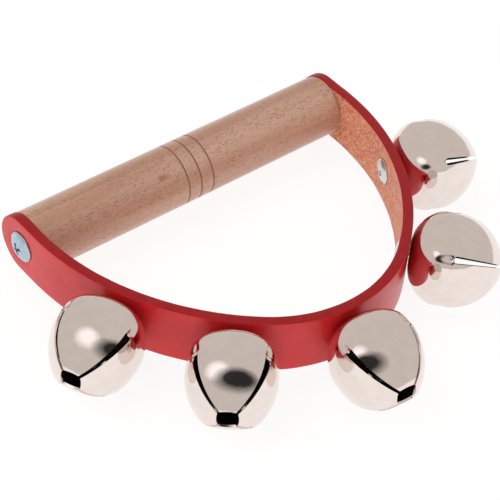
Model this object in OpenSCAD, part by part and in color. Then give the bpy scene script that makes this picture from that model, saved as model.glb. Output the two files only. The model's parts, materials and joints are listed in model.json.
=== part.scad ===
// Hand sleigh bells: a turned wooden grip, a leather strap bent into a D and screwed to both
// ends of the grip, and five folded-steel jingle bells riveted along the outside of the strap.
// +X runs along the grip, -Y points from the grip to the front of the D and +Z is up.

/* [Grip] */
// Diameter of the wooden grip
grip_d = 22; // [19:0.5:25]
// Length of the grip between the two strap ends
grip_len = 127; // [118:1:136]
// Distance between neighbouring turned grooves
groove_pitch = 5.2; // [4:0.1:7]
// Depth of each turned groove
groove_depth = 0.7; // [0.3:0.1:1.2]

/* [Strap] */
// Width of the leather strap
strap_w = 21; // [19:0.5:22]
// Thickness of the leather
strap_t = 3.6; // [2.5:0.1:4]
// Radius of the middle of the strap round the front of the D
front_r = 48; // [44:1:52]
// Straight length of strap from the middle of the grip to the start of the curve
leg_straight = 7.6; // [6:0.2:12]

/* [Bells] */
// Largest diameter of a bell
bell_d = 29.5; // [27:0.5:31]
// Length of a bell from the strap to the tips of its petals
bell_len = 30.6; // [29:0.2:32]
// Thickness of the sheet steel
bell_wall = 0.8; // [0.5:0.1:1.2]
// Distance along the strap from one bell to the next
bell_pitch = 40; // [39:0.5:42]
// Widest part of a slot
slot_w = 2.2; // [1.5:0.1:3]
// Side of the square hole between the tips of the petals
tip_hole = 7; // [4:0.1:7]
// Diameter of the steel pellet inside a bell
pellet_d = 8; // [7.5:0.5:10]

/* [Fasteners] */
// Diameter of a rivet head
rivet_head_d = 10; // [8:0.5:11]
// Diameter of a rivet shank
rivet_d = 3.6; // [3:0.1:4]
// Diameter of a screw head
screw_head_d = 11; // [9:0.5:12]
// Length of a screw under its head
screw_len = 30; // [20:1:40]

/* [Hidden] */
$fn = 96;
bells = [1:5];
middle_bell = 3;

eps = 0.01;
wood = "burlywood";
leather = "firebrick";
nickel = "silver";
zinc = "lightsteelblue";
steel = "dimgray";

// Grip
grip_r = grip_d / 2;
grip_edge = 0.8;
groove_half_w = 0.75;
pilot_clearance = 0.05;

// Strap: straight legs, then a wide arc on each side, then the tighter arc at the front.
// The arcs meet on a line in the direction of a 3-4-5 triangle, which keeps their ends exact.
join = [0.6, -0.8];
join_angle = atan2(join.x, -join.y);
leg_x = (grip_len + strap_t) / 2;
side_r = (leg_x - join.x * front_r) / (1 - join.x);
side_centre = [leg_x - side_r, -leg_straight];
front_centre = side_centre + (side_r - front_r) * join;
front_y = front_centre.y - front_r;
front_arc_len = front_r * join_angle * PI / 180;
strap_edge = 0.4;
tab_past = 1;
head_sink = 0.3;
head_gap = 0.1;

// Bells
bell_r = bell_d / 2;
rest_gap = 0.1;
back_r = 11.5;
back_flat = bell_r - back_r;
bell_mid = 13.5;
tip_r = tip_hole / 2;
nose_r = (pow(bell_len - bell_mid, 2) + pow(bell_r - tip_r, 2)) / (2 * (bell_r - tip_r));
petal_bow = 7.5;
slot_start = 14;
slot_tip_w = 0.9;
// The bells are riveted on by hand. Each one sits a little off its even place along the strap,
// leans a little from the strap's outward normal, and rests a little turned about its rivet.
bell_shift = [0.8, -0.4, -2, -0.8, 1.2];
bell_lean = [4, 0, -6, 1, -1];
bell_turn = [-2, 3, 6, 0, 2];

// Rivets
rivet_head_h = 1.5;
rivet_dimple_r = 1.9;
rivet_dimple_h = 0.6;
rivet_hole_r = rivet_d / 2 + 0.04;
rivet_roll_r = 2.9;
rivet_roll_h = 1.2;
rivet_bore_r = 1.1;
rivet_bore_depth = 4;
rivet_axial_play = 0.06;

// Pellets
pellet_r = pellet_d / 2;
pellet_drop = bell_r - bell_wall - pellet_r - 0.1;
pellet_along = bell_mid;

// Screws
screw_r = 2.3;
screw_core_r = 1.6;
screw_head_h = 2.3;
screw_head_rim = 0.5;
screw_tip_len = 4;
thread_pitch = 1.8;
cross_len = 5.2;
cross_w = 1.1;
cross_depth = 1.5;

// The origin is under the middle of the whole object, on the surface that it lies on
origin_y = -(tab_past + strap_w / 2 + front_y - strap_t / 2 - rest_gap - bell_len) / 2;
origin_z = max([for (i = bells) bell_hang(i)]);

module in_place() translate([0, origin_y, origin_z]) children();

// Angle of the strap's outward normal from -Y, at a distance along the strap from its front
function angle_at(along) =
    abs(along) <= front_arc_len
    ? along / front_r * 180 / PI
    : sign(along) * (join_angle + (abs(along) - front_arc_len) / side_r * 180 / PI);

// Middle of the strap's thickness where its outward normal stands at an angle from -Y
function strap_point(a) =
    abs(a) <= join_angle
    ? [front_r * sin(a), front_centre.y - front_r * cos(a)]
    : [sign(a) * (side_centre.x + side_r * sin(abs(a))), side_centre.y - side_r * cos(a)];

// Angle of the strap's outward normal at a bell
function bell_angle(i) = angle_at((i - middle_bell) * bell_pitch + bell_shift[i - 1]);

// Height of a bell's axis above the surface that its lowest petal would touch
function bell_hang(i) = bell_r + petal_bow * (1 - cos(bell_turn[i - 1]));

// Room between the leather and a bell's back along its axis, more where the bell leans
function bell_gap(i) =
    rest_gap + back_flat * sin(abs(bell_lean[i - 1])) + back_r * (1 - cos(bell_lean[i - 1]));

// Puts +Z of its child outwards along a bell's axis, with 0 at the middle of the leather
// and the child's +Y pointing up
module at_bell(i) {
    a = bell_angle(i);
    p = strap_point(a);
    translate([p.x, p.y, 0]) rotate([0, 0, a + bell_lean[i - 1]]) rotate([90, 0, 0]) children();
}

// Puts +Z of its child outwards along the grip, with 0 at the middle of the leather
module at_end(side) translate([side * leg_x, 0, 0]) rotate([0, side * 90, 0]) children();

// The leather's cross-section: x across its thickness, y across its width
module strap_section() {
    x = strap_t / 2;
    y = strap_w / 2;
    e = strap_edge;
    polygon([
        [-x, -y + e], [-x + e, -y], [x - e, -y], [x, -y + e],
        [x, y - e], [x - e, y], [-x + e, y], [-x, y - e]
    ]);
}

// The part of a full ring of strap that lies in a sector with its corner at the ring's centre
module strap_arc(centre, radius, sector)
    translate([centre.x, centre.y, 0]) intersection() {
        rotate_extrude() translate([radius, 0]) strap_section();
        translate([0, 0, -strap_w]) linear_extrude(height = 2 * strap_w) polygon(sector);
    }

module strap_leg()
    translate([leg_x, tab_past, 0])
        rotate([90, 0, 0])
            linear_extrude(height = leg_straight + tab_past) strap_section();

// Rounded end of the strap, a half disc just past the screw
module strap_tab()
    translate([leg_x, tab_past, 0])
        rotate([0, 90, 0])
            rotate_extrude(angle = 180) rotate(90) intersection() {
                strap_section();
                translate([-strap_t, -strap_w]) square([2 * strap_t, strap_w]);
            }

module strap() color(leather) difference() {
    far = 2 * side_r;
    union() {
        strap_arc(front_centre, front_r, [[0, 0], far * [-join.x, join.y], far * join]);
        for (side = [0, 1]) mirror([side, 0, 0]) {
            strap_arc(side_centre, side_r, [[0, 0], far * join, [far, far * join.y], [far, 0]]);
            strap_leg();
            strap_tab();
        }
    }
    for (side = [-1, 1]) at_end(side) {
        translate([0, 0, -strap_t]) cylinder(h = 2 * strap_t, r = screw_r + head_gap);
        translate([0, 0, strap_t / 2 - head_sink])
            cylinder(h = strap_t, r = screw_head_d / 2 + head_gap);
    }
    for (i = bells) at_bell(i) {
        translate([0, 0, -strap_t]) cylinder(h = 2 * strap_t, r = rivet_hole_r);
        translate([0, 0, -strap_t * 3 / 2 + head_sink])
            cylinder(h = strap_t, r = rivet_head_d / 2 + head_gap);
    }
}

// A turned groove as a ring with a pointed inner edge
module groove()
    rotate_extrude() polygon([
        [grip_r - groove_depth, 0],
        [grip_r + groove_depth, -2 * groove_half_w],
        [grip_r + groove_depth, 2 * groove_half_w]
    ]);

module handle() color(wood) rotate([0, 90, 0]) difference() {
    rotate_extrude() polygon([
        [0, -grip_len / 2], [grip_r - grip_edge, -grip_len / 2],
        [grip_r, -grip_len / 2 + grip_edge], [grip_r, grip_len / 2 - grip_edge],
        [grip_r - grip_edge, grip_len / 2], [0, grip_len / 2]
    ]);
    for (k = [-1:1]) translate([0, 0, k * groove_pitch]) groove();
    for (end = [0, 180]) rotate([end, 0, 0])
        translate([0, 0, grip_len / 2 + strap_t - head_sink - screw_len - 1])
            cylinder(h = screw_len + strap_t, r = screw_r + pilot_clearance);
}

// Half of a bell's outline from its back to its nose, shrunk by a distance all round
module bell_profile(inset) {
    intersection() {
        union() {
            translate([bell_r - back_r, back_r]) circle(r = back_r - inset);
            translate([0, inset]) square([bell_r - back_r, bell_mid]);
            translate([0, back_r]) square([bell_r - inset, bell_mid - back_r]);
        }
        square([bell_r, bell_mid]);
    }
    intersection() {
        translate([bell_r - nose_r, bell_mid]) circle(r = nose_r - inset);
        translate([0, bell_mid - eps]) square([bell_r, bell_len]);
    }
}

// Four petals, each turned about an axis behind the bell's own, so that they meet in corners
module bell_solid(inset)
    intersection_for(turn = [0:90:270])
        rotate([0, 0, turn])
            translate([-petal_bow, 0, 0])
                rotate_extrude() {
                    translate([petal_bow, 0]) bell_profile(inset);
                    translate([0, inset]) square([petal_bow + eps, bell_len + 2 * bell_wall]);
                }

// One pair of opposite slots, each with a wide round end and narrowing towards the tips
module slot_pair()
    rotate([90, 0, 0])
        translate([0, 0, -bell_r - 1])
            linear_extrude(height = 2 * bell_r + 2) {
                translate([0, slot_start + slot_w / 2]) circle(d = slot_w);
                polygon([
                    [-slot_w / 2, slot_start + slot_w / 2], [slot_w / 2, slot_start + slot_w / 2],
                    [slot_tip_w / 2, bell_len + 2], [-slot_tip_w / 2, bell_len + 2]
                ]);
            }

// Sheet steel shell: closed back with a rivet hole, four petals and a cross of slots
module bell_shell(i)
    color(nickel) at_bell(i) translate([0, 0, strap_t / 2 + bell_gap(i)])
        rotate([0, 0, bell_turn[i - 1]]) difference() {
            bell_solid(0);
            bell_solid(bell_wall);
            for (turn = [45, 135]) rotate([0, 0, turn]) slot_pair();
            translate([-tip_r, -tip_r, bell_len - 5]) cube([tip_hole, tip_hole, 10]);
            translate([0, 0, -1]) cylinder(h = bell_wall + 2, r = rivet_hole_r);
        }

// Tubular rivet: a low domed head with a dimple inside the strap, its tail rolled over in the bell
module rivet(i) {
    head_back = -strap_t / 2 + head_sink;
    head_r = rivet_head_d / 2;
    dome_r = (head_r * head_r + rivet_head_h * rivet_head_h) / (2 * rivet_head_h);
    tail = strap_t / 2 + bell_gap(i) + bell_wall + rivet_axial_play;
    color(nickel) at_bell(i) difference() {
        union() {
            translate([0, 0, head_back]) rotate([180, 0, 0]) rotate_extrude() intersection() {
                translate([0, rivet_head_h - dome_r]) circle(r = dome_r);
                square([head_r, rivet_head_h]);
            }
            translate([0, 0, head_back - eps])
                cylinder(h = tail + rivet_roll_h - head_back, r = rivet_d / 2);
            translate([0, 0, tail]) rotate_extrude() intersection() {
                translate([rivet_roll_r - rivet_roll_h, 0]) circle(r = rivet_roll_h);
                translate([eps, 0]) square([rivet_roll_r, rivet_roll_h]);
            }
        }
        translate([0, 0, tail + rivet_roll_h - rivet_bore_depth])
            cylinder(h = rivet_bore_depth + 1, r = rivet_bore_r);
        translate([0, 0, head_back - rivet_head_h - 1])
            cylinder(h = rivet_dimple_h + 1, r = rivet_dimple_r);
    }
}

// Loose steel ball, lying at the bottom of its bell
module pellet(i)
    color(steel) at_bell(i)
        translate([0, -pellet_drop, strap_t / 2 + bell_gap(i) + pellet_along]) sphere(r = pellet_r);

// Wood screw with a broad low head, a cross recess and a ridged shank
module screw(side) {
    head_r = screw_head_d / 2;
    head_z = strap_t / 2 - head_sink;
    dome_h = screw_head_h - screw_head_rim;
    dome_r = (head_r * head_r + dome_h * dome_h) / (2 * dome_h);
    ridges = floor((screw_len - screw_tip_len - strap_t) / thread_pitch);
    color(zinc) at_end(side) difference() {
        union() {
            translate([0, 0, head_z]) cylinder(h = screw_head_rim, r = head_r);
            translate([0, 0, head_z + screw_head_rim]) rotate_extrude() intersection() {
                translate([0, dome_h - dome_r]) circle(r = dome_r);
                square([head_r, dome_h]);
            }
            translate([0, 0, head_z - screw_len + screw_tip_len])
                cylinder(h = screw_len - screw_tip_len + eps, r = screw_core_r);
            translate([0, 0, head_z - screw_len])
                cylinder(h = screw_tip_len, r1 = 0.2, r2 = screw_core_r);
            for (k = [0:ridges - 1])
                translate([0, 0, head_z - screw_len + screw_tip_len + k * thread_pitch])
                    rotate_extrude() polygon([
                        [screw_core_r - 0.2, 0], [screw_r, thread_pitch * 0.4],
                        [screw_core_r - 0.2, thread_pitch * 0.8]
                    ]);
        }
        for (turn = [25, 115]) rotate([0, 0, turn])
            translate([-cross_len / 2, -cross_w / 2, head_z + screw_head_h - cross_depth])
                cube([cross_len, cross_w, cross_depth + 1]);
        translate([0, 0, head_z + screw_head_h - cross_depth - 0.6])
            cylinder(h = 3, r1 = 0.7, r2 = 1.4);
    }
}

in_place() {
    handle();
    strap();
    screw(-1);  // screw_left
    screw(1);  // screw_right
    for (i = bells) {
        bell_shell(i);
        rivet(i);
        pellet(i);
    }
}
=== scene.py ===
"""Looks of the hand sleigh bells: grip, strap, screws, rivets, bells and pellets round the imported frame."""
import json
import math

import bmesh
import bpy
import numpy as np
from mathutils import Matrix, Vector, noise


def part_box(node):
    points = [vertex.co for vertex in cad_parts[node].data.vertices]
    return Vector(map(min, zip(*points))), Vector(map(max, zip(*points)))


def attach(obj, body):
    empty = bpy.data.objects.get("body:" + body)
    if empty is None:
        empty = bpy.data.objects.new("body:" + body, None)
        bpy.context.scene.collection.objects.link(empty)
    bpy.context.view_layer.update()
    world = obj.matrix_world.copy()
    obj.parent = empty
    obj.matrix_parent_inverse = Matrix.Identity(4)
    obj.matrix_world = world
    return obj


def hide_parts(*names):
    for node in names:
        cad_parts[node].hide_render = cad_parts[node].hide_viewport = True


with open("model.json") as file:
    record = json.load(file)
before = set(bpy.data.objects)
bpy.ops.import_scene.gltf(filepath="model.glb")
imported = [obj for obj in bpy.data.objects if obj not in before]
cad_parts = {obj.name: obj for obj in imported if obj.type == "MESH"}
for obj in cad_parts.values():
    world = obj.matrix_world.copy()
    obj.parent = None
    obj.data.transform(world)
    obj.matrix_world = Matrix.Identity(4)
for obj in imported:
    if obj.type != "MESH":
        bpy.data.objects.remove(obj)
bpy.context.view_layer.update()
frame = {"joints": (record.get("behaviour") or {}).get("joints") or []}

MM = 0.001
UP = Vector((0, 0, 1))

# ---------------------------------------------------------------- sizes, from the frame or as designed

grip_low, grip_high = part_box("handle")
strap_low, strap_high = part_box("strap")
screw_low, screw_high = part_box("screw_right")
pellet_low, pellet_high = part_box("pellet_3")
joints = {j["name"]: j for j in frame["joints"]}

MID_Z = (grip_low.z + grip_high.z) / 2
GRIP_R = (grip_high.z - grip_low.z) / 2
GRIP_HALF = grip_high.x
GRIP_CENTRE = Vector((0, (grip_low.y + grip_high.y) / 2, MID_Z))
GROOVE_PITCH = 5.2 * MM

STRAP_W = strap_high.z - strap_low.z
STRAP_T = strap_high.x - GRIP_HALF
FRONT_R = 48 * MM
LEG_STRAIGHT = 7.6 * MM
TAB_PAST = 1 * MM
JOIN = Vector((0.6, -0.8))
HEAD_SINK = 0.3 * MM

BELL_R = 14.75 * MM
BELL_WALL = 0.8 * MM
BELL_LEN = 30.6 * MM
BELL_MID = 13.5 * MM
BACK_R = 11.5 * MM
BELLS = range(1, 6)
# Each bell leans a little from the strap's normal and rests a little turned about its rivet, in degrees
BELL_LEAN = dict(zip(BELLS, (4, 0, -6, 1, -1)))
BELL_TURN = dict(zip(BELLS, (-2, 3, 6, 1.5, 1.6)))

SCREW_HEAD_R = (screw_high.z - screw_low.z) / 2
RIVET_HEAD_R = 4.7 * MM
PELLET_R = (pellet_high.z - pellet_low.z) / 2


# ---------------------------------------------------------------- mesh helpers

def frame_at(origin, axis, up=UP):
    """Matrix that puts local +Z along axis and local +Y along up, with its origin at a point."""
    z = Vector(axis).normalized()
    x = Vector(up).cross(z).normalized()
    y = z.cross(x)
    m = Matrix((x, y, z)).transposed().to_4x4()
    m.translation = origin
    return m


def make_piece(name, verts, faces, materials, face_materials=None, place=Matrix.Identity(4)):
    """Object from plain lists, put in place in its mesh, smooth shaded, with its normals turned outwards."""
    mesh = bpy.data.meshes.new(name)
    mesh.from_pydata([tuple(v) for v in verts], [], faces)
    for m in materials:
        mesh.materials.append(m)
    if face_materials is not None:
        mesh.polygons.foreach_set("material_index", face_materials)
    bm = bmesh.new()
    bm.from_mesh(mesh)
    bmesh.ops.recalc_face_normals(bm, faces=bm.faces)
    bm.to_mesh(mesh)
    bm.free()
    mesh.transform(place)
    mesh.shade_smooth()
    piece = bpy.data.objects.new(name, mesh)
    bpy.context.scene.collection.objects.link(piece)
    return piece


def fit(piece, node, body):
    """The piece stands for a CAD node and moves with its body."""
    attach(piece, body)
    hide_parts(node)
    return piece


def bevel(piece, width, segments=2, angle=40):
    mod = piece.modifiers.new("edges", "BEVEL")
    mod.width = width
    mod.segments = segments
    mod.limit_method = "ANGLE"
    mod.angle_limit = math.radians(angle)
    mod.harden_normals = True
    return mod


def arc(centre, radius, start, end, steps):
    """Points along an arc; angles in degrees."""
    angles = [math.radians(start + (end - start) * k / steps) for k in range(steps + 1)]
    return [(centre[0] + radius * math.cos(a), centre[1] + radius * math.sin(a)) for a in angles]


def lathe(profile, segments):
    """Verts and faces of a profile of (radius, height) turned about Z; zero radii become poles."""
    verts, faces, rings = [], [], []
    for r, z in profile:
        if r < 1e-7:
            rings.append([len(verts)])
            verts.append((0, 0, z))
            continue
        rings.append(list(range(len(verts), len(verts) + segments)))
        for k in range(segments):
            a = 2 * math.pi * k / segments
            verts.append((r * math.cos(a), r * math.sin(a), z))
    for low, high in zip(rings, rings[1:]):
        for k in range(segments):
            n = (k + 1) % segments
            if len(low) == 1 and len(high) == 1:
                continue
            if len(low) == 1:
                faces.append((low[0], high[n], high[k]))
            elif len(high) == 1:
                faces.append((low[k], low[n], high[0]))
            else:
                faces.append((low[k], low[n], high[n], high[k]))
    return verts, faces


def smoothstep(x, low, high):
    t = min(max((x - low) / (high - low), 0.0), 1.0)
    return t * t * (3 - 2 * t)


# ---------------------------------------------------------------- material helpers

def linear(r, g, b):
    """Linear colour from 8-bit sRGB."""
    def one(c):
        c /= 255
        return c / 12.92 if c <= 0.04045 else ((c + 0.055) / 1.055) ** 2.4
    return (one(r), one(g), one(b), 1.0)


class Nodes:
    """Short names for building one material's node tree."""

    def __init__(self, name):
        self.material = bpy.data.materials.new(name)
        self.material.use_nodes = True
        self.tree = self.material.node_tree
        self.shader = self.tree.nodes["Principled BSDF"]
        self.coords = self.tree.nodes.new("ShaderNodeTexCoord").outputs["Object"]

    def link(self, source, target):
        self.tree.links.new(source, target)

    def node(self, kind, inputs=None, **settings):
        n = self.tree.nodes.new(kind)
        for key, value in settings.items():
            setattr(n, key, value)
        for key, value in (inputs or {}).items():
            if isinstance(value, bpy.types.NodeSocket):
                self.link(value, n.inputs[key])
            else:
                n.inputs[key].default_value = value
        return n

    def scaled(self, x, y, z, offset=(0, 0, 0)):
        return self.node("ShaderNodeMapping", {"Vector": self.coords, "Scale": (x, y, z),
                                               "Location": offset}).outputs["Vector"]

    def noise(self, vector, scale, detail=3, rough=0.5, distortion=0.0):
        return self.node("ShaderNodeTexNoise", {"Vector": vector, "Scale": scale, "Detail": detail,
                                                "Roughness": rough, "Distortion": distortion}).outputs["Fac"]

    def ramp(self, fac, *stops):
        n = self.node("ShaderNodeValToRGB", {"Fac": fac})
        elements = n.color_ramp.elements
        while len(elements) < len(stops):
            elements.new(0.5)
        for element, (place, value) in zip(elements, stops):
            element.position = place
            element.color = value if isinstance(value, tuple) else (value, value, value, 1)
        return n.outputs["Color"]

    def mix(self, fac, a, b, blend="MIX"):
        n = self.node("ShaderNodeMix", data_type="RGBA", blend_type=blend)
        for socket, value in ((n.inputs[0], fac), (n.inputs[6], a), (n.inputs[7], b)):
            if isinstance(value, bpy.types.NodeSocket):
                self.link(value, socket)
            else:
                socket.default_value = value
        return n.outputs[2]

    def math(self, operation, a, b=0.0, clamp=False):
        n = self.node("ShaderNodeMath", {0: a, 1: b}, operation=operation, use_clamp=clamp)
        return n.outputs[0]

    def bump(self, height, strength, distance, normal=None):
        n = self.node("ShaderNodeBump", {"Height": height, "Strength": strength, "Distance": distance})
        if normal is not None:
            self.link(normal, n.inputs["Normal"])
        return n.outputs["Normal"]

    def set(self, **values):
        for key, value in values.items():
            socket = self.shader.inputs[key.replace("_", " ")]
            if isinstance(value, bpy.types.NodeSocket):
                self.link(value, socket)
            else:
                socket.default_value = value
        return self.material


# ---------------------------------------------------------------- materials

def beech():
    """Sanded beech: pinkish ground, soft growth bands, short dark flecks and fine pores along the grain."""
    m = Nodes("beech")
    along = m.scaled(0.12, 1, 1)
    warp = m.noise(along, 90, 2)
    bands = m.node("ShaderNodeTexNoise", {"Vector": m.scaled(0.03, 1, 1), "Scale": 330.0, "Detail": 2.0,
                                          "Distortion": 0.6}).outputs["Fac"]
    ground = m.ramp(m.math("ADD", m.math("MULTIPLY", warp, 0.6), m.math("MULTIPLY", bands, 0.4)),
                    (0.34, linear(182, 133, 108)), (0.5, linear(198, 151, 127)),
                    (0.66, linear(214, 173, 150)))
    fleck_cells = m.node("ShaderNodeTexVoronoi",
                         {"Vector": m.scaled(0.22, 1, 1), "Scale": 2300.0, "Randomness": 1.0})
    fleck = m.ramp(fleck_cells.outputs["Distance"], (0.18, 1.0), (0.38, 0.0))
    patches = m.ramp(m.noise(m.scaled(0.25, 1, 1), 260, 3, 0.6, 1.4), (0.36, 0.25), (0.58, 1.0))
    fleck = m.math("MULTIPLY", fleck, patches)
    colour = m.mix(m.math("MULTIPLY", fleck, 0.9), ground, linear(140, 90, 70))
    pores = m.noise(m.scaled(0.08, 1, 1), 5200, 2)
    colour = m.mix(m.ramp(pores, (0.3, 0.35), (0.5, 0.0)), colour, linear(158, 112, 88))
    groove = m.node("ShaderNodeAttribute", attribute_name="groove").outputs["Fac"]
    colour = m.mix(groove, colour, linear(150, 104, 82))
    knot = m.node("ShaderNodeAttribute", attribute_name="knot").outputs["Fac"]
    colour = m.mix(m.math("MULTIPLY", knot, 0.85), colour, linear(164, 92, 68))
    height = m.math("SUBTRACT", m.math("MULTIPLY", pores, 0.5), m.math("MULTIPLY", fleck, 0.4))
    return m.set(Base_Color=colour, Roughness=m.ramp(warp, (0.3, 0.62), (0.7, 0.5)),
                 Normal=m.bump(height, 0.35, 0.00012), Specular_IOR_Level=0.3,
                 Coat_Weight=0.7, Coat_Roughness=0.4, Sheen_Weight=1.0, Sheen_Roughness=0.3,
                 Sheen_Tint=(1.0, 0.93, 0.9, 1.0))


def end_grain():
    """The cut ends of the grip: darker, with pores seen end on."""
    m = Nodes("beech_end")
    pores = m.node("ShaderNodeTexVoronoi", {"Vector": m.coords, "Scale": 2600.0}).outputs["Distance"]
    colour = m.mix(m.ramp(pores, (0.15, 0.6), (0.4, 0.0)), linear(178, 130, 100), linear(112, 74, 54))
    return m.set(Base_Color=colour, Roughness=0.75, Normal=m.bump(pores, 0.4, 0.00015))


def red_leather():
    """Glossy dyed face of the strap, with a fine pressed grain."""
    m = Nodes("leather_face")
    tone = m.noise(m.coords, 70, 3)
    colour = m.ramp(tone, (0.3, linear(197, 28, 34)), (0.7, linear(213, 40, 44)))
    cells = m.node("ShaderNodeTexVoronoi", {"Vector": m.coords, "Scale": 2300.0},
                   feature="SMOOTH_F1").outputs["Distance"]
    fine = m.noise(m.coords, 5200, 3)
    height = m.math("ADD", cells, m.math("MULTIPLY", fine, 0.35))
    waves = m.noise(m.coords, 160, 2)
    normal = m.bump(height, 0.16, 0.00008, m.bump(waves, 0.12, 0.0006))
    return m.set(Base_Color=colour, Roughness=m.ramp(tone, (0.3, 0.3), (0.7, 0.38)), Normal=normal,
                 Coat_Weight=0.22, Coat_Roughness=0.14, Coat_IOR=1.5, Specular_IOR_Level=0.3)


def painted_edge():
    """Painted cut edge of the strap: a deeper red with a slightly uneven coat."""
    m = Nodes("leather_edge")
    tone = m.noise(m.coords, 240, 3)
    colour = m.ramp(tone, (0.3, linear(158, 20, 28)), (0.7, linear(174, 28, 34)))
    height = m.noise(m.scaled(1, 1, 0.35), 1300, 4)
    return m.set(Base_Color=colour, Roughness=m.ramp(tone, (0.3, 0.34), (0.7, 0.46)),
                 Normal=m.bump(height, 0.35, 0.00015), Coat_Weight=0.05, Coat_Roughness=0.25,
                 Specular_IOR_Level=0.2)


def flesh_side():
    """Bare inside of the strap: tan, fibrous and matt, with small dark pits."""
    m = Nodes("leather_flesh")
    cloud = m.noise(m.coords, 190, 4, 0.6)
    ground = m.ramp(cloud, (0.3, linear(212, 122, 86)), (0.5, linear(226, 142, 106)),
                    (0.7, linear(238, 166, 132)))
    fibre = m.noise(m.coords, 1100, 5, 0.85, 0.4)
    colour = m.mix(m.ramp(fibre, (0.42, 0.8), (0.52, 0.0)), ground, linear(168, 84, 54))
    colour = m.mix(m.ramp(fibre, (0.52, 0.0), (0.6, 0.7)), colour, linear(246, 190, 160))
    pits = m.node("ShaderNodeTexVoronoi", {"Vector": m.coords, "Scale": 900.0}).outputs["Distance"]
    colour = m.mix(m.ramp(pits, (0.04, 0.6), (0.13, 0.0)), colour, linear(122, 66, 48))
    return m.set(Base_Color=colour, Roughness=0.92, Normal=m.bump(fibre, 0.5, 0.0003),
                 Sheen_Weight=0.25, Sheen_Roughness=0.5, Specular_IOR_Level=0.2)


def nickel(name="nickel_polished", tint=(237, 225, 219), rough=(0.04, 0.1)):
    """Polished nickel plate: faint pressing waves, hairline polishing marks and light smudges."""
    m = Nodes(name)
    smudge = m.noise(m.coords, 260, 4, 0.6)
    marks = m.noise(m.scaled(1, 1, 0.12), 5200, 2)
    colour = m.mix(m.ramp(smudge, (0.35, 0.25), (0.6, 0.0)), linear(*tint), linear(*(c - 22 for c in tint)))
    roughness = m.math("ADD", m.ramp(smudge, (0.35, rough[0]), (0.7, rough[1])),
                       m.ramp(marks, (0.5, 0.0), (0.75, 0.05)))
    normal = m.bump(marks, 0.04, 0.00003, m.bump(m.noise(m.coords, 230, 2), 0.1, 0.0005))
    return m.set(Base_Color=colour, Metallic=1.0, Roughness=roughness, Normal=normal)


def nickel_inside():
    """Unpolished inside of a bell: a dull dark grey that is painted shade for the hollow, in random blotches.
    """
    m = Nodes("nickel_inside")
    blotch = m.noise(m.coords, 420, 4, 0.6)
    # The dark grey of these colour stops is painted shade inside the hollow bell, not the metal's own colour.
    colour = m.ramp(blotch, (0.3, linear(70, 64, 60)), (0.7, linear(112, 104, 98)))
    return m.set(Base_Color=colour, Metallic=1.0, Roughness=m.ramp(blotch, (0.3, 0.42), (0.7, 0.6)),
                 Normal=m.bump(blotch, 0.2, 0.0002))


def zinc():
    """Bluish bright zinc plate on the screws."""
    m = Nodes("zinc_plate")
    cloud = m.noise(m.coords, 900, 3)
    colour = m.ramp(cloud, (0.3, linear(160, 182, 198)), (0.7, linear(196, 210, 220)))
    turned = m.noise(m.coords, 4200, 3)
    return m.set(Base_Color=colour, Metallic=1.0, Roughness=m.ramp(cloud, (0.3, 0.24), (0.7, 0.36)),
                 Normal=m.bump(turned, 0.12, 0.00006))


def pellet_steel():
    """Cast steel pellet: dark skin with brighter worn patches."""
    m = Nodes("pellet_steel")
    wear = m.noise(m.coords, 700, 4, 0.6)
    colour = m.ramp(wear, (0.4, linear(74, 72, 72)), (0.62, linear(142, 138, 134)))
    return m.set(Base_Color=colour, Metallic=1.0, Roughness=m.ramp(wear, (0.4, 0.55), (0.65, 0.3)),
                 Normal=m.bump(wear, 0.4, 0.0002))


# ---------------------------------------------------------------- grip

GROOVE_HALF = 0.42 * MM
GROOVE_DEPTH = 0.4 * MM
GRIP_EDGE = 0.8 * MM
# Along the grip in metres, then across it and up in grip radii
KNOT_PLACE = Vector((-14 * MM, -0.62, 0.78))
KNOT_CORE_R = 0.4 * MM
KNOT_R = 1.5 * MM
KNOT_SQUASH = 0.6


def grip_radius(x):
    """Radius of the grip at a distance from its middle: three burnt grooves in a plain dowel."""
    r = GRIP_R
    for k in (-1, 0, 1):
        d = abs(x - k * GROOVE_PITCH) / GROOVE_HALF
        if d < 1:
            r -= GROOVE_DEPTH * (0.5 + 0.5 * math.cos(math.pi * d)) ** 0.8
    return r


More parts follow.
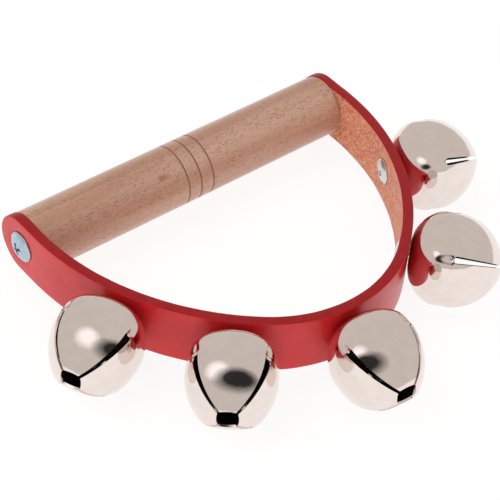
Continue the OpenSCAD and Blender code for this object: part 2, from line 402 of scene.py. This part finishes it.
def make_grip():
    flat = GRIP_HALF - GRIP_EDGE
    xs = set(np.linspace(-flat, flat, 61))
    for k in (-1, 0, 1):
        xs |= set(k * GROOVE_PITCH + GROOVE_HALF * np.linspace(-1, 1, 13))
    profile = [(0, -GRIP_HALF), (GRIP_R * 0.5, -GRIP_HALF)]
    profile += arc((GRIP_R - GRIP_EDGE, -flat), GRIP_EDGE, -90, 0, 5)
    profile += [(grip_radius(x), x) for x in sorted(xs) if abs(x) < flat - 1e-6]
    profile += arc((GRIP_R - GRIP_EDGE, flat), GRIP_EDGE, 0, 90, 5)
    profile += [(GRIP_R * 0.5, GRIP_HALF), (0, GRIP_HALF)]
    verts, faces = lathe(profile, 128)
    ends = [1 if all(abs(verts[i][2]) > GRIP_HALF - 0.1 * MM for i in f) else 0 for f in faces]
    # The lathe's axis is laid along +X, with its own X turned down
    turned = [(z, y, -x) for x, y, z in verts]
    piece = make_piece("grip", turned, faces, [beech(), end_grain()], ends, Matrix.Translation(GRIP_CENTRE))
    groove = piece.data.attributes.new("groove", "FLOAT", "POINT")
    groove.data.foreach_set("value", [
        min(1.0, max(0.0, (GRIP_R - math.hypot(v[1], v[2])) / (GROOVE_DEPTH * 0.6)))
        if abs(v[0]) < 2 * GROOVE_PITCH else 0.0 for v in turned])
    knot = piece.data.attributes.new("knot", "FLOAT", "POINT")
    centre = Vector((KNOT_PLACE.x, KNOT_PLACE.y * GRIP_R, KNOT_PLACE.z * GRIP_R))
    away = [math.hypot((x - centre.x) * KNOT_SQUASH, y - centre.y, z - centre.z) for x, y, z in turned]
    knot.data.foreach_set("value", [1 - smoothstep(d, KNOT_CORE_R, KNOT_R) for d in away])
    return fit(piece, "handle", "frame")


# ---------------------------------------------------------------- strap

LEG_X = GRIP_HALF + STRAP_T / 2
SIDE_R = (LEG_X - JOIN.x * FRONT_R) / (1 - JOIN.x)
SIDE_CENTRE = Vector((LEG_X - SIDE_R, GRIP_CENTRE.y - LEG_STRAIGHT))
FRONT_CENTRE = SIDE_CENTRE + (SIDE_R - FRONT_R) * JOIN
JOIN_ANGLE = math.atan2(JOIN.x, -JOIN.y)
FRONT_ARC = FRONT_R * JOIN_ANGLE
SIDE_ARC = SIDE_R * (math.pi / 2 - JOIN_ANGLE)
STRAP_HALF = FRONT_ARC + SIDE_ARC + LEG_STRAIGHT + TAB_PAST


def strap_place(along, across, out):
    """Point of the strap: along it from the middle bell, across its width and out from its middle."""
    s = abs(along)
    if s <= FRONT_ARC:
        a = s / FRONT_R
        p = FRONT_CENTRE + (FRONT_R + out) * Vector((math.sin(a), -math.cos(a)))
    elif s <= FRONT_ARC + SIDE_ARC:
        a = JOIN_ANGLE + (s - FRONT_ARC) / SIDE_R
        p = SIDE_CENTRE + (SIDE_R + out) * Vector((math.sin(a), -math.cos(a)))
    else:
        p = Vector((LEG_X + out, SIDE_CENTRE.y + s - FRONT_ARC - SIDE_ARC))
    return Vector((math.copysign(p.x, along) if along else p.x, p.y, MID_Z + across))


def bell_distances():
    """Distances along the strap from its middle to each bell, from the bells' axes in the frame."""
    found = {}
    for i in BELLS:
        ax = joints[f"bell_spin_{i}"]["axis"]
        turned = math.atan2(ax[0], -ax[1]) - math.radians(BELL_LEAN[i])
        a = abs(turned)
        s = FRONT_R * a if a <= JOIN_ANGLE else FRONT_ARC + SIDE_R * (a - JOIN_ANGLE)
        found[i] = math.copysign(s, turned)
    return found


def bell_gap(i):
    """Room between the leather and the back of a bell along its axis."""
    lean = math.radians(abs(BELL_LEAN[i]))
    return 0.1 * MM + (BELL_R - BACK_R) * math.sin(lean) + BACK_R * (1 - math.cos(lean))


BELL_ALONG = bell_distances()


def pressed(along, across, places, radius, depth, width):
    """How far the leather is pressed in under round heads at some places."""
    deep = 0.0
    for s in places:
        r = math.hypot(along - s, across)
        deep = max(deep, depth * (1 - smoothstep(r, radius, radius + width)))
    return deep


def strap_grid(half_w, rows, columns, end_rows):
    """Flat grid of (along, across) with half-disc ends, and its outline as indices and outward normals."""
    grid = []
    steps = [k / columns * 2 - 1 for k in range(columns + 1)]

    def end_row(a, side):
        return [(side * (STRAP_HALF + half_w * a * math.sqrt(1 - b * b / 2)),
                 half_w * b * math.sqrt(1 - a * a / 2)) for b in steps]
    for k in range(end_rows, 0, -1):
        grid.append(end_row(k / end_rows, -1))
    for k in range(rows + 1):
        s = STRAP_HALF * (2 * k / rows - 1)
        grid.append([(s, half_w * b) for b in steps])
    for k in range(1, end_rows + 1):
        grid.append(end_row(k / end_rows, 1))
    width = columns + 1
    last = len(grid) - 1
    outline = [(0, j) for j in range(width)] + [(i, columns) for i in range(1, last)]
    outline += [(last, j) for j in range(columns, -1, -1)] + [(i, 0) for i in range(last - 1, 0, -1)]
    loop = []
    for i, j in outline:
        s, z = grid[i][j]
        over = abs(s) - STRAP_HALF
        if over <= 0:
            normal = (0.0, math.copysign(1.0, z))
        else:
            size = math.hypot(over, z)
            normal = (math.copysign(over, s) / size, z / size)
        loop.append((i * width + j, (s, z), normal))
    points = [p for row in grid for p in row]
    quads = [(i * width + j, i * width + j + 1, (i + 1) * width + j + 1, (i + 1) * width + j)
             for i in range(last) for j in range(columns)]
    return points, quads, loop


def make_strap():
    round_out, round_in = 0.28 * MM, 0.3 * MM
    inset = 0.32 * MM
    screw_spread, rivet_spread = 1.6 * MM, 1.4 * MM
    points, quads, loop = strap_grid(STRAP_W / 2 - inset, 220, 18, 12)
    heads = list(BELL_ALONG.values())
    screws = [TAB_PAST - STRAP_HALF, STRAP_HALF - TAB_PAST]

    def place(s, z, out):
        if out > 0:
            down = pressed(s, z, screws, SCREW_HEAD_R, HEAD_SINK, screw_spread)
            out -= down * smoothstep(out, 0, STRAP_T / 2)
        else:
            down = pressed(s, z, heads, RIVET_HEAD_R, HEAD_SINK, rivet_spread)
            out += down * smoothstep(-out, 0, STRAP_T / 2)
        at = Vector((s, z, out))
        uneven = noise.noise(at * 220) * 0.05 * MM + noise.noise(at * 60) * 0.08 * MM
        return strap_place(s, z, out + uneven * (abs(out) > 0.1 * MM))

    t = STRAP_T / 2
    verts = [place(s, z, t) for s, z in points] + [place(s, z, -t) for s, z in points]
    n = len(points)
    faces = list(quads) + [tuple(i + n for i in reversed(q)) for q in quads]
    # Materials: 0 is the dyed face, 1 the painted edge and 2 the flesh side
    kinds = [0] * len(quads) + [2] * len(quads)
    # Rings round the edge, from the outer face over a rounded corner, the side and the inner corner
    rings = [[i for i, _, _ in loop]]
    steps = [(inset * math.sin(a), t - round_out * (1 - math.cos(a)), 0 if a < 0.9 else 1)
             for a in (math.pi / 8, math.pi / 4, math.pi * 3 / 8, math.pi / 2)]
    steps += [(inset + 0.06 * MM, 0.3 * t, 1), (inset + 0.08 * MM, 0, 1), (inset + 0.06 * MM, -0.35 * t, 1)]
    steps += [(inset * math.cos(a), -t + round_in * (1 - math.sin(a)), 1)
              for a in (0, math.pi / 8, math.pi / 4, math.pi * 3 / 8)]
    for push, out, _ in steps:
        ring = []
        for _, (s, z), (ns, nz) in loop:
            ring.append(len(verts))
            verts.append(place(s + ns * push, z + nz * push, out))
        rings.append(ring)
    rings.append([i + n for i, _, _ in loop])
    ring_kinds = [k for _, _, k in steps] + [1]
    for low, high, kind in zip(rings, rings[1:], ring_kinds):
        for k in range(len(low)):
            m = (k + 1) % len(low)
            faces.append((low[k], low[m], high[m], high[k]))
            kinds.append(kind)
    piece = make_piece("strap_leather", verts, faces, [red_leather(), painted_edge(), flesh_side()], kinds)
    return fit(piece, "strap", "frame")


# ---------------------------------------------------------------- bells

TIP_R = 3.5 * MM
RIVET_HOLE_R = 1.84 * MM
NOSE_R = ((BELL_LEN - BELL_MID) ** 2 + (BELL_R - TIP_R) ** 2) / (2 * (BELL_R - TIP_R))
PETAL_BOW = 7.5 * MM
SLOT_START = 14 * MM
SLOT_HALF = 1.25 * MM
SLOT_TIP_HALF = 0.5 * MM
PINCH_DEPTH = 0.65 * MM
PINCH_WIDTH = 1.2 * MM
SHEET_EDGE = 0.19 * MM
# Columns of the mesh from a petal's middle to its edge
COLUMNS = 15


def bell_profile():
    """Rows of (radius, depth) from the rivet hole, over the back and the side, to the tips of the petals."""
    back_flat = BELL_R - BACK_R
    rows = [(r, 0.0) for r in np.linspace(RIVET_HOLE_R, back_flat, 4, endpoint=False)]
    rows += [(back_flat + x, BACK_R + z) for x, z in arc((0, 0), BACK_R, -90, 0, 26)]
    nose_start = math.asin((SLOT_START - BELL_MID) / NOSE_R)
    nose_end = math.asin((BELL_LEN - BELL_MID) / NOSE_R)
    rounding = [math.asin((SLOT_START - BELL_MID + SLOT_HALF * (1 - math.cos(a))) / NOSE_R)
                for a in np.linspace(0, math.pi / 2, 8)]
    angles = [nose_start / 2] + rounding + list(np.linspace(rounding[-1], nose_end, 34)[1:])
    rows += [(BELL_R, d) for d in np.linspace(BACK_R, BELL_MID, 5)[1:]]
    rows += [(BELL_R - NOSE_R + NOSE_R * math.cos(a), BELL_MID + NOSE_R * math.sin(a)) for a in angles]
    return rows


def petal_radius(r, angle, corner):
    """Distance of the shell from its axis at an angle from a petal's middle, with a rounded corner."""
    def side(a):
        return -PETAL_BOW * math.cos(a) + math.sqrt((r + PETAL_BOW) ** 2 - (PETAL_BOW * math.sin(a)) ** 2)
    one, two = side(angle), side(math.pi / 2 - angle)
    near = max(corner - abs(one - two), 0) / corner
    return min(one, two) - near * near * corner / 4


def slot_half_width(depth):
    """Half the width of a slot at a depth: a round start, then narrowing towards the tips."""
    past = depth - SLOT_START
    if past <= 0:
        return 0.0
    if past < SLOT_HALF:
        return math.sqrt(max(SLOT_HALF ** 2 - (SLOT_HALF - past) ** 2, 0))
    share = (past - SLOT_HALF) / (BELL_LEN - SLOT_START - SLOT_HALF)
    return SLOT_HALF + (SLOT_TIP_HALF - SLOT_HALF) * share


def corner_size(r, depth):
    """How far the sheet is rounded where two petals meet: crisp at the slots, soft round the back."""
    behind = max(SLOT_START - depth, 0)
    return (0.5 + 2.2 * smoothstep(behind, 2 * MM, 11 * MM)) * MM * smoothstep(r, 0, 6 * MM) + 0.05 * MM


def pinch(away, depth):
    """Small fold in the sheet behind each slot's start, fading towards the back of the bell."""
    behind = SLOT_START - depth
    fade = smoothstep(behind, -1.0 * MM, 0.5 * MM) * (1 - smoothstep(behind, 1.0 * MM, 6 * MM))
    valley = -PINCH_DEPTH * math.exp(-(away / PINCH_WIDTH) ** 2)
    return valley * fade


def bell_shell_mesh():
    """Outer surface of a bell in its own frame: +Z away from the strap, petals facing +-X and +-Y."""
    rows = bell_profile()
    verts, grid = [], {}
    quarter = math.pi / 4
    spread = [math.sin(k / (COLUMNS - 1) * math.pi / 2) for k in range(COLUMNS)]
    for i, (r, depth) in enumerate(rows):
        corner = corner_size(r, depth)
        half = slot_half_width(depth)
        edge = quarter
        for _ in range(4):
            edge = quarter - math.asin(half / petal_radius(r, edge, corner))
        for petal in range(4):
            for k in range(-(COLUMNS - 1), COLUMNS):
                # Where there is no slot, a petal's first column is the last column of the one before
                if half == 0 and k == 1 - COLUMNS and petal > 0:
                    grid[i, petal, k] = grid[i, petal - 1, -k]
                    continue
                if half == 0 and k == COLUMNS - 1 and petal == 3:
                    grid[i, petal, k] = grid[i, 0, -k]
                    continue
                angle = edge * spread[abs(k)]
                rho = petal_radius(r, angle, corner)
                rho += pinch(rho * math.sin(quarter - angle), depth)
                turn = petal * math.pi / 2 + math.copysign(angle, k)
                grid[i, petal, k] = len(verts)
                verts.append((rho * math.cos(turn), rho * math.sin(turn), depth))
    faces = [(grid[i, petal, k], grid[i, petal, k + 1], grid[i + 1, petal, k + 1], grid[i + 1, petal, k])
             for i in range(len(rows) - 1) for petal in range(4) for k in range(1 - COLUMNS, COLUMNS - 1)]
    return verts, faces


def bell_back(i):
    """Matrix of bell i: its origin at the back of the shell, +Z out along its axis and +Y up."""
    joint = joints[f"bell_spin_{i}"]
    axis = Vector(joint["axis"])
    return frame_at(Vector(joint["pos_m"]) - axis * BELL_MID, axis)


def make_bells(outside, inside):
    verts, faces = bell_shell_mesh()
    for i in BELLS:
        place = bell_back(i) @ Matrix.Rotation(math.radians(BELL_TURN[i]), 4, "Z")
        piece = make_piece(f"bell_{i}_shell", verts, faces, [outside, inside], place=place)
        wall = piece.modifiers.new("sheet", "SOLIDIFY")
        wall.thickness = BELL_WALL
        wall.offset = -1
        wall.use_even_offset = True
        wall.material_offset = 1
        wall.material_offset_rim = 0
        bevel(piece, SHEET_EDGE, 2, 50)
        fit(piece, f"bell_shell_{i}", f"bell_{i}")


# ---------------------------------------------------------------- rivets, pellets and screws

RECESS_TURN = 25
RECESS_DEPTH = 1.5 * MM
THREAD_PITCH = 1.8 * MM


def rivet_profile(reach):
    """Half outline of a rivet whose head sits a distance behind the bell's back."""
    head_h = 1.5 * MM
    shank_r, hollow_r, roll_r = 1.8 * MM, 1.1 * MM, 0.62 * MM
    top = -reach - head_h
    dome = (RIVET_HEAD_R ** 2 + head_h ** 2) / (2 * head_h)
    profile = [(0, top + 0.95 * MM), (0.9 * MM, top + 0.9 * MM), (1.3 * MM, top + 0.4 * MM)]
    for r in np.linspace(1.6 * MM, RIVET_HEAD_R - 0.35 * MM, 10):
        profile.append((r, top + dome - math.sqrt(dome ** 2 - r ** 2)))
    profile += arc((RIVET_HEAD_R - 0.28 * MM, -reach - 0.3 * MM), 0.28 * MM, -60, 90, 5)
    tail = BELL_WALL + 0.06 * MM
    profile += [(shank_r, -reach), (shank_r, tail)]
    profile += arc((shank_r, tail + roll_r), roll_r, -70, 120, 8)
    profile += [(hollow_r, tail + 0.7 * MM), (hollow_r, tail - 1.6 * MM), (0, tail - 2 * MM)]
    return profile


def make_rivets(metal):
    """Low domed heads with a small dimple inside the strap, shanks, and tails rolled over in the bells."""
    for i in BELLS:
        verts, faces = lathe(rivet_profile(STRAP_T + bell_gap(i) - HEAD_SINK), 64)
        piece = make_piece(f"rivet_{i}_turned", verts, faces, [metal], place=bell_back(i))
        bevel(piece, 0.06 * MM, 2, 45)
        fit(piece, f"rivet_{i}", "frame")


def make_pellets(metal):
    """Cast pellets with a faint mould seam."""
    for i in BELLS:
        low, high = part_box(f"pellet_{i}")
        bm = bmesh.new()
        bmesh.ops.create_icosphere(bm, subdivisions=4, radius=PELLET_R)
        for v in bm.verts:
            seam = math.exp(-(v.co.z / (0.25 * MM)) ** 2) * 0.06 * MM
            rough = noise.noise(v.co * 900 + Vector((i, 0, 0))) * 0.06 * MM
            v.co *= (PELLET_R - 0.1 * MM + seam + rough) / PELLET_R
        mesh = bpy.data.meshes.new(f"pellet_{i}_cast")
        bm.to_mesh(mesh)
        bm.free()
        mesh.materials.append(metal)
        mesh.shade_smooth()
        piece = bpy.data.objects.new(f"pellet_{i}_cast", mesh)
        piece.matrix_world = Matrix.Translation((low + high) / 2)
        bpy.context.scene.collection.objects.link(piece)
        fit(piece, f"pellet_{i}", f"pellet_{i}")


def cross_cutter(height, depth):
    """Tapered cross that cuts the recess into a screw's head, turned a little from the strap."""
    verts, faces = [], []
    long_half, half = 2.7 * MM, 0.55 * MM
    for turn in (math.radians(RECESS_TURN), math.radians(RECESS_TURN + 90)):
        base = len(verts)
        for z, grow in ((height + 1 * MM, 1.12), (height - depth, 0.5)):
            for x, y in ((-1, -1), (1, -1), (1, 1), (-1, 1)):
                px, py = x * long_half * grow, y * half * (0.5 + grow / 2)
                verts.append((px * math.cos(turn) - py * math.sin(turn),
                              px * math.sin(turn) + py * math.cos(turn), z))
        b = base
        faces += [(b, b + 1, b + 2, b + 3), (b + 7, b + 6, b + 5, b + 4)]
        faces += [(b + k, b + 4 + k, b + 4 + (k + 1) % 4, b + (k + 1) % 4) for k in range(4)]
    return verts, faces


def make_screws(metal):
    """Broad low heads with a cross recess on threaded shanks."""
    head_z = STRAP_T / 2 - HEAD_SINK
    total = screw_high.x - LEG_X - head_z
    rim = 0.5 * MM
    dome_h = total - rim
    dome = (SCREW_HEAD_R ** 2 + dome_h ** 2) / (2 * dome_h)
    reach = LEG_X + head_z - screw_low.x
    core_r, thread_r, neck_r = 1.6 * MM, 2.25 * MM, 1.7 * MM
    profile = [(0, head_z - reach), (0.25 * MM, head_z - reach + 0.2 * MM)]
    z = head_z - reach + 4 * MM
    profile.append((core_r, z))
    while z < head_z - 6 * MM:
        profile += [(core_r, z + 0.1 * MM), (thread_r, z + 0.72 * MM), (core_r, z + 1.4 * MM)]
        z += THREAD_PITCH
    profile += [(neck_r, z + 1 * MM), (neck_r, head_z - 0.3 * MM), (2.2 * MM, head_z)]
    profile += [(SCREW_HEAD_R - 0.3 * MM, head_z)]
    profile += arc((SCREW_HEAD_R - 0.25 * MM, head_z + 0.25 * MM), 0.25 * MM, -60, 30, 4)
    for k in range(12):
        r = (SCREW_HEAD_R - 0.12 * MM) * math.cos(math.pi / 2 * k / 12)
        profile.append((r, head_z + rim + math.sqrt(dome ** 2 - r ** 2) - dome + dome_h))
    profile.append((0, head_z + total))
    verts, faces = lathe(profile, 72)
    cut_verts, cut_faces = cross_cutter(head_z + total, RECESS_DEPTH)
    for side, name in ((-1, "screw_left"), (1, "screw_right")):
        place = frame_at(Vector((side * LEG_X, GRIP_CENTRE.y, MID_Z)), (side, 0, 0))
        piece = make_piece(name + "_threaded", verts, faces, [metal], place=place)
        cutter = make_piece(name + "_cutter", cut_verts, cut_faces, [metal], place=place)
        cut = piece.modifiers.new("recess", "BOOLEAN")
        cut.operation = "DIFFERENCE"
        cut.solver = "EXACT"
        cut.use_self = True
        cut.object = cutter
        apply_modifiers(piece)
        bpy.data.objects.remove(cutter)
        piece.data.set_sharp_from_angle(angle=math.radians(35))
        fit(piece, name, "frame")


def apply_modifiers(piece):
    """Turn a piece's modifiers into plain mesh."""
    bpy.context.view_layer.update()
    evaluated = piece.evaluated_get(bpy.context.evaluated_depsgraph_get())
    mesh = bpy.data.meshes.new_from_object(evaluated)
    piece.modifiers.clear()
    piece.data = mesh


# ---------------------------------------------------------------- stage

AIM = GRIP_CENTRE + Vector((-6.0, -44.6, 0)) * MM
CAMERA_AWAY = 598.6 * MM
CAMERA_TURN = math.radians(-42.56)
CAMERA_RISE = math.radians(43.68)
CAMERA_ROLL = math.radians(5.2)
LENS = 129.65

FLOOR_HALF = 12.0
FLOOR_GLOW = 0.86
STUDIO_GREY = (0.66, 0.63, 0.6, 1)
# Name, place, size in metres, power in watts
LIGHTS = (("key", Vector((-0.7, 0.5, 1.3)), 1.2, 5),
          ("low_front", Vector((-1.0, -1.0, 0.16)), 0.5, 3.2))
# Name, place, radius, glow, and how many times as wide as high
CARDS = (("white_card", Vector((-156, 5, 235)) * MM, 98.55 * MM, 1.2, 1.0),
         ("dark_card", Vector((-66, -73, 98)) * MM, 48.6 * MM, 0.03, 1.6))


def make_camera():
    back = Vector((math.sin(CAMERA_TURN) * math.cos(CAMERA_RISE),
                   -math.cos(CAMERA_TURN) * math.cos(CAMERA_RISE), math.sin(CAMERA_RISE)))
    level = Vector((math.cos(CAMERA_TURN), math.sin(CAMERA_TURN), 0))
    tall = back.cross(level)
    right = level * math.cos(CAMERA_ROLL) + tall * math.sin(CAMERA_ROLL)
    data = bpy.data.cameras.new("camera")
    data.lens = LENS
    data.sensor_width = 36
    data.clip_start = 0.01
    camera = bpy.data.objects.new("camera", data)
    camera.matrix_world = frame_at(AIM + back * CAMERA_AWAY, back, back.cross(right))
    bpy.context.scene.collection.objects.link(camera)
    bpy.context.scene.camera = camera


def make_floor():
    """White light table: mostly its own glow, with just enough paper to take a faint shadow."""
    m = Nodes("floor_paper")
    tone = m.noise(m.coords, 3, 2)
    paper = m.set(Base_Color=m.ramp(tone, (0.3, (0.2, 0.2, 0.2, 1)), (0.7, (0.21, 0.21, 0.21, 1))),
                  Roughness=0.9, Specular_IOR_Level=0.0, Emission_Color=(1, 1, 1, 1),
                  Emission_Strength=FLOOR_GLOW)
    corners = [(x * FLOOR_HALF, y * FLOOR_HALF, 0) for x, y in ((-1, -1), (1, -1), (1, 1), (-1, 1))]
    floor = make_piece("floor", corners, [(0, 1, 2, 3)], [paper])


def make_light(name, place, size, power):
    """Soft light on the object, too large and even to show as a shape in the bells."""
    data = bpy.data.lights.new(name, "AREA")
    data.size = size
    data.energy = power
    light = bpy.data.objects.new(name, data)
    light.matrix_world = frame_at(place, place, (0, 0.01, 1))
    light.visible_glossy = False
    bpy.context.scene.collection.objects.link(light)


def make_card(name, place, radius, glow, wide):
    """Round or oval card with a soft edge, facing the object and seen only in reflections."""
    m = Nodes(name)
    away = m.node("ShaderNodeVectorMath", {0: m.coords}, operation="LENGTH").outputs["Value"]
    cover = m.ramp(m.math("DIVIDE", away, radius), (0.45, 1.0), (1.0, 0.0))
    m.tree.nodes.remove(m.shader)
    emission = m.node("ShaderNodeEmission", {"Color": (glow, glow, glow, 1), "Strength": 1.0})
    clear = m.node("ShaderNodeBsdfTransparent")
    mixed = m.node("ShaderNodeMixShader", {0: cover, 1: clear.outputs[0], 2: emission.outputs[0]})
    m.link(mixed.outputs[0], m.tree.nodes["Material Output"].inputs["Surface"])
    turns = np.linspace(0, 2 * math.pi, 48, endpoint=False)
    rim = [(radius * math.cos(a), radius * math.sin(a), 0) for a in turns]
    card = make_piece(name, rim, [tuple(range(len(rim)))], [m.material])
    card.matrix_world = frame_at(place, -place, (0, 0.01, 1)) @ Matrix.Diagonal((wide, 1, 1, 1))
    for kind in ("camera", "diffuse", "transmission", "volume_scatter", "shadow"):
        setattr(card, "visible_" + kind, False)


def make_world():
    """Even warm grey studio."""
    world = bpy.data.worlds.new("studio")
    bpy.context.scene.world = world
    world.use_nodes = True
    sky = world.node_tree.nodes["Background"]
    sky.inputs["Strength"].default_value = 1.0
    sky.inputs["Color"].default_value = STUDIO_GREY


def make_stage():
    make_floor()
    for light in LIGHTS:
        make_light(*light)
    for card in CARDS:
        make_card(*card)
    make_world()
    make_camera()
    view = bpy.context.scene.view_settings
    view.view_transform = "Standard"
    view.look = "None"


# ---------------------------------------------------------------- all of it

make_grip()
make_strap()
make_bells(nickel(), nickel_inside())
make_rivets(nickel("rivet_nickel", (214, 214, 216), (0.14, 0.24)))
make_pellets(pellet_steel())
make_screws(zinc())
make_stage()
